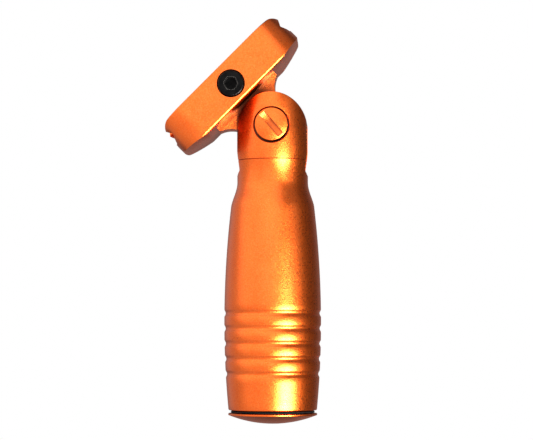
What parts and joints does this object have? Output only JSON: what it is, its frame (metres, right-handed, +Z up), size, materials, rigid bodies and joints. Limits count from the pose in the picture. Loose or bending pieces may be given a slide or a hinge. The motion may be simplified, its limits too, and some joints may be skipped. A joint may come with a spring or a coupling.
{
  "type": "folding clamp-on hand grip",
  "caption": "Folding barrel hand grip on a dovetail rail clamp head, with a slotted pivot screw, a cross screw and a sealed storage cap.",
  "frame": {"origin": "middle of the clamp's channel floor, where the top face of the rail seats", "axes": "+Z up along the hanging grip at rest, +Y along the pivot towards its rear nut, +X to the right seen from the slotted screw face"},
  "size_m": [0.0527, 0.0322, 0.1351],
  "materials": {
    "orange_anodised": "bead-blasted and orange anodised, satin",
    "black_steel": "black oxide",
    "plain_steel": "zinc plated",
    "bronze": "plain bearing bronze",
    "nylon": "natural nylon",
    "seal_rubber": "matt black nitrile"
  },
  "bodies": {
    "head": {"clamp_head": "orange_anodised", "cross_screw_nut": "plain_steel", "pivot_bush": "bronze"},
    "cross_washer": {"cross_screw_washer": "plain_steel"},
    "cross_screw": {"cross_screw": "black_steel"},
    "grip": {"grip_body": "orange_anodised", "pivot_nut": "orange_anodised", "friction_washer_front": "nylon", "friction_washer_rear": "nylon"},
    "pivot_washer": {"pivot_spring_washer": "plain_steel"},
    "pivot_screw": {"pivot_screw": "orange_anodised"},
    "seal": {"cap_o_ring": "seal_rubber"},
    "cap": {"end_cap": "orange_anodised"}
  },
  "joints": [
    {"name": "grip_fold", "type": "hinge", "parent": "head", "child": "grip", "pos_m": [0.01266, 0, -0.01266], "axis": [0, 1, 0], "range_deg": [-135, 45]},
    {"name": "cross_screw_travel", "type": "slide", "parent": "head", "child": "cross_washer", "axis": [0, -1, 0], "range_m": [0, 0.0048]},
    {"name": "cross_screw_turn", "type": "hinge", "parent": "cross_washer", "child": "cross_screw", "pos_m": [-0.00051, 0, 0.00051], "axis": [0, -1, 0], "range_deg": [0, 2160]},
    {"name": "pivot_screw_travel", "type": "slide", "parent": "grip", "child": "pivot_washer", "axis": [0, -1, 0], "range_m": [0, 0.003]},
    {"name": "pivot_screw_turn", "type": "hinge", "parent": "pivot_washer", "child": "pivot_screw", "pos_m": [0.01266, 0, -0.01266], "axis": [0, -1, 0], "range_deg": [0, 1080]},
    {"name": "cap_travel", "type": "slide", "parent": "grip", "child": "seal", "axis": [0, 0, -1], "range_m": [0, 0.0075]},
    {"name": "cap_turn", "type": "hinge", "parent": "seal", "child": "cap", "pos_m": [0.01266, 0, -0.10756], "axis": [0, 0, -1], "range_deg": [0, 1800]}
  ],
  "couplings": [
    {"joint": "cross_screw_turn", "follows": "cross_screw_travel", "rad_per_m": 7854},
    {"joint": "pivot_screw_turn", "follows": "pivot_screw_travel", "rad_per_m": 6283.2},
    {"joint": "cap_turn", "follows": "cap_travel", "rad_per_m": 4188.8}
  ]
}
